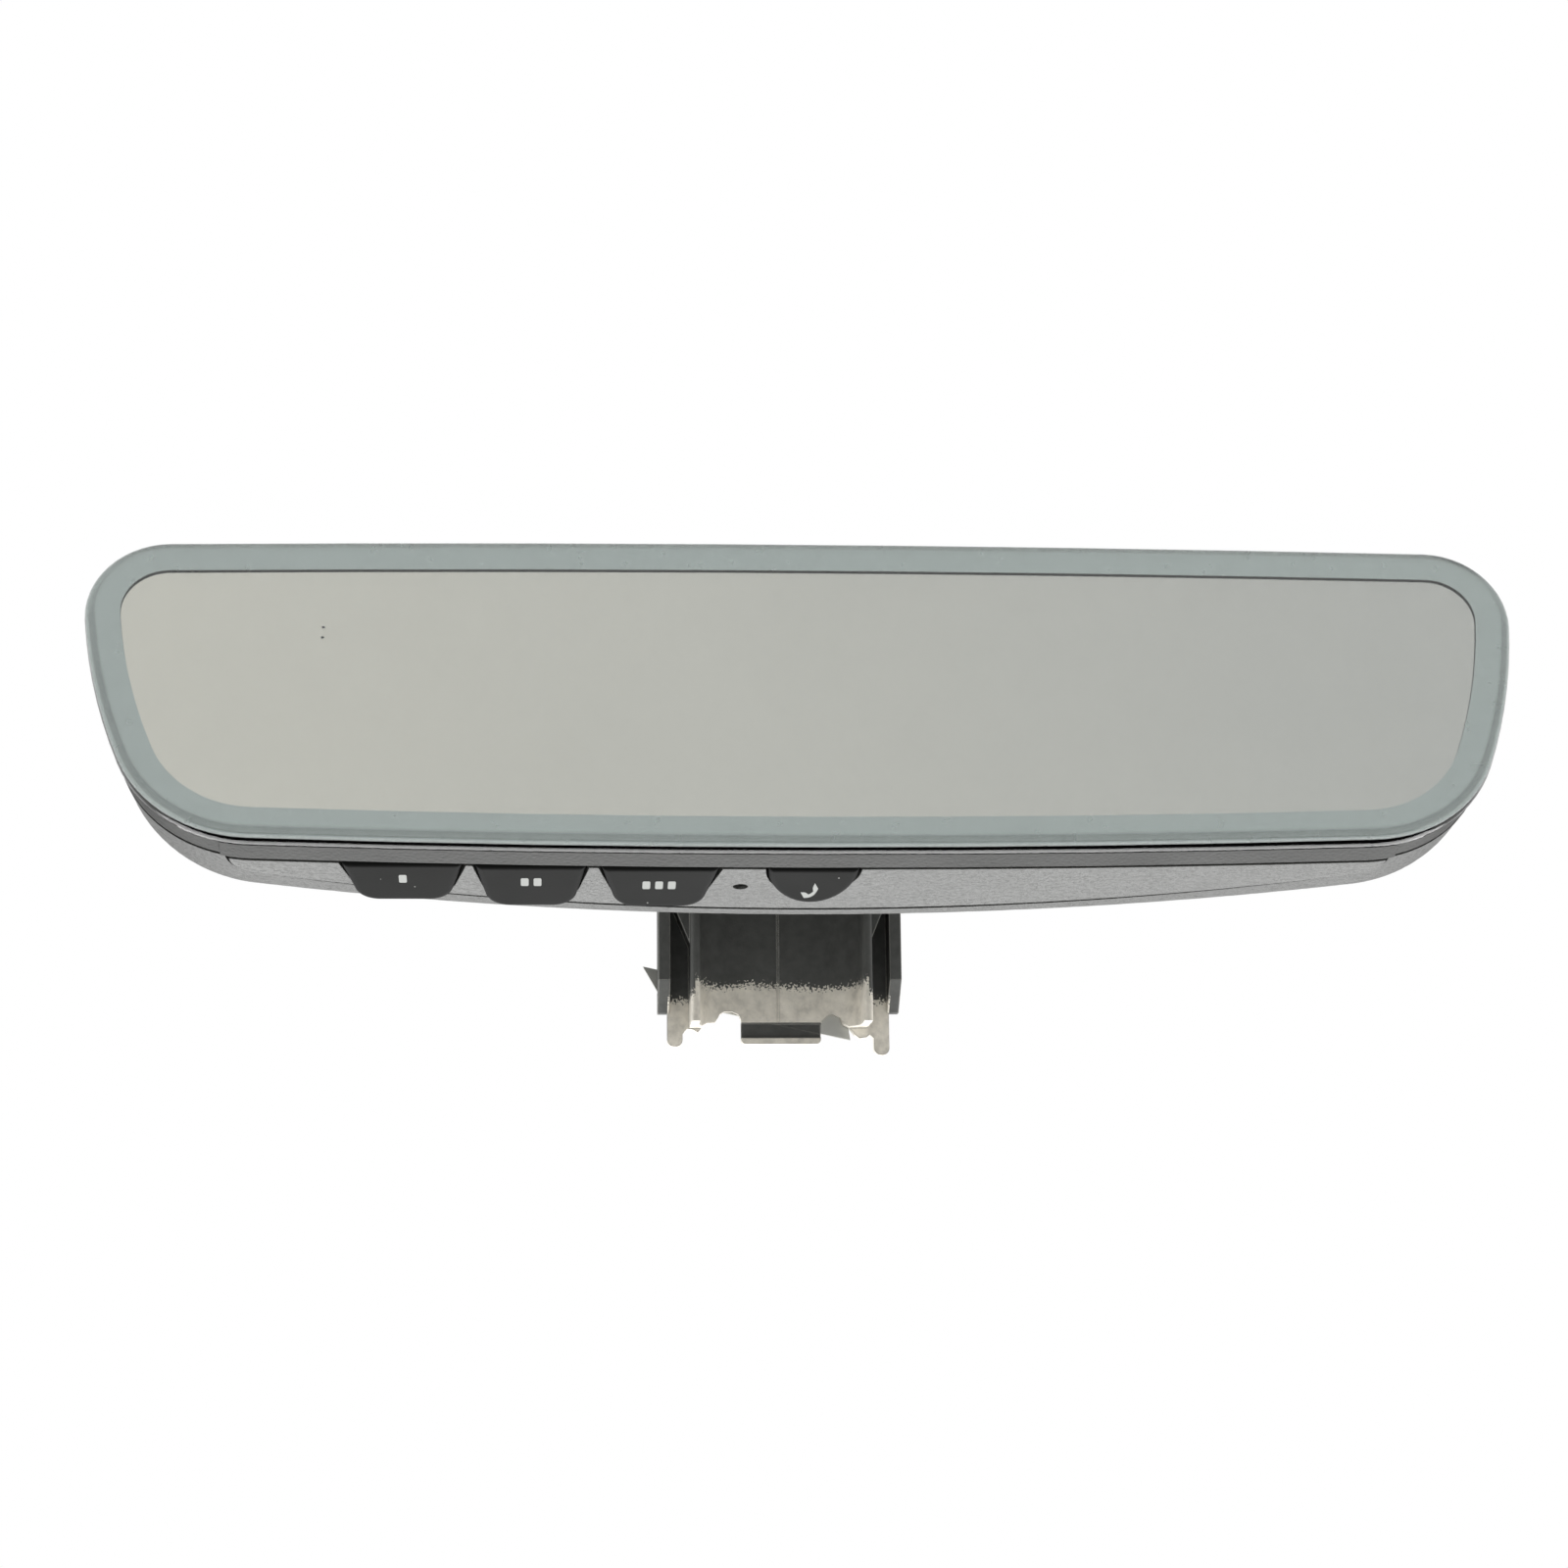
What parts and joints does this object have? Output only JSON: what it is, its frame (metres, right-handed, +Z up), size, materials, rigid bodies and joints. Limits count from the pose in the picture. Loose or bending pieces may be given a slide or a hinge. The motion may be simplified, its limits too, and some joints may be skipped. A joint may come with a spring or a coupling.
{
  "type": "interior rearview mirror",
  "caption": "Frameless interior rearview mirror: a glass cell in a shallow drafted case with underside buttons, on a ball joint and a die-cast windscreen bracket.",
  "frame": {"origin": "middle of the bracket's face that seats on the windscreen button", "axes": "+X to the driver's right as the driver sees the glass, +Z up, -Y toward the driver, so the glass faces -Y"},
  "size_m": [0.2604, 0.11, 0.0715],
  "materials": {
    "clear_glass": "polished float glass",
    "ring_chrome": "vacuum deposited, satin bright",
    "seal_epoxy": "cured epoxy",
    "cell_gel": "clear gel",
    "mirror_coat": "bright mirror coating",
    "tinned_copper": "tinned",
    "foam": "closed cell foam",
    "grained_abs": "fine spark-eroded grain",
    "panel_abs": "fine spark-eroded grain",
    "button_abs": "soft matt",
    "black_plastic": "moulded",
    "white_plastic": "moulded",
    "clear_plastic": "polished light pipe",
    "board_laminate": "solder mask",
    "tin_plate": "bright tin",
    "boot_rubber": "matt",
    "zinc_screw": "zinc plated",
    "gold_pin": "gold flash",
    "nylon_black": "glass filled nylon",
    "acetal_liner": "natural acetal",
    "spring_steel": "blued spring steel",
    "stud_steel": "ground and greased",
    "cast_zinc": "die cast, part painted"
  },
  "bodies": {
    "mount": {"mount_casting": "cast_zinc", "ball_stud": "stud_steel", "retaining_spring": "spring_steel"},
    "liner": {"ball_liner": "acetal_liner"},
    "spring": {"clamp_spring": "spring_steel"},
    "head": {"glass_front": "clear_glass", "perimeter_ring": "ring_chrome", "cell_seal": "seal_epoxy", "ec_gel": "cell_gel", "glass_rear": "mirror_coat", "bus_clips": "tinned_copper", "foam_pad": "foam", "front_bezel": "grained_abs", "rear_housing": "grained_abs", "switch_panel": "panel_abs", "tact_switches": "black_plastic", "switch_board": "board_laminate", "microphone": "tin_plate", "microphone_boot": "boot_rubber", "circuit_board": "board_laminate", "board_screws": "zinc_screw", "radio_shield": "tin_plate", "control_chips": "black_plastic", "glare_sensor": "clear_plastic", "ambient_sensor": "clear_plastic", "wire_header": "black_plastic", "header_pins": "gold_pin", "board_link": "black_plastic", "pivot_base": "nylon_black", "pivot_collar": "nylon_black", "pivot_screws": "zinc_screw"},
    "button_one": {"button_one": "button_abs", "plunger_one": "white_plastic"},
    "button_two": {"button_two": "button_abs", "plunger_two": "white_plastic"},
    "button_three": {"button_three": "button_abs", "plunger_three": "white_plastic"},
    "button_call": {"button_call": "button_abs", "plunger_call": "white_plastic"}
  },
  "joints": [
    {"name": "head_yaw", "type": "hinge", "parent": "mount", "child": "liner", "pos_m": [0, -0.0646, -0.00705], "axis": [0, 0, 1], "range_deg": [-20, 20]},
    {"name": "head_pitch", "type": "hinge", "parent": "liner", "child": "spring", "pos_m": [0, -0.0646, -0.00705], "axis": [1, 0, 0], "range_deg": [-15, 15]},
    {"name": "head_roll", "type": "hinge", "parent": "spring", "child": "head", "pos_m": [0, -0.0646, -0.00705], "axis": [0, 1, 0], "range_deg": [-10, 10]},
    {"name": "button_one_press", "type": "slide", "parent": "head", "child": "button_one", "axis": [0, -0.1392, 0.9903], "range_m": [0, 0.0006], "stiffness_N_per_m": 2000, "springref_m": -0.0003},
    {"name": "button_two_press", "type": "slide", "parent": "head", "child": "button_two", "axis": [0, -0.1392, 0.9903], "range_m": [0, 0.0006], "stiffness_N_per_m": 2000, "springref_m": -0.0003},
    {"name": "button_three_press", "type": "slide", "parent": "head", "child": "button_three", "axis": [0, -0.1392, 0.9903], "range_m": [0, 0.0006], "stiffness_N_per_m": 2000, "springref_m": -0.0003},
    {"name": "button_call_press", "type": "slide", "parent": "head", "child": "button_call", "axis": [0, -0.1392, 0.9903], "range_m": [0, 0.0006], "stiffness_N_per_m": 2000, "springref_m": -0.0003}
  ]
}
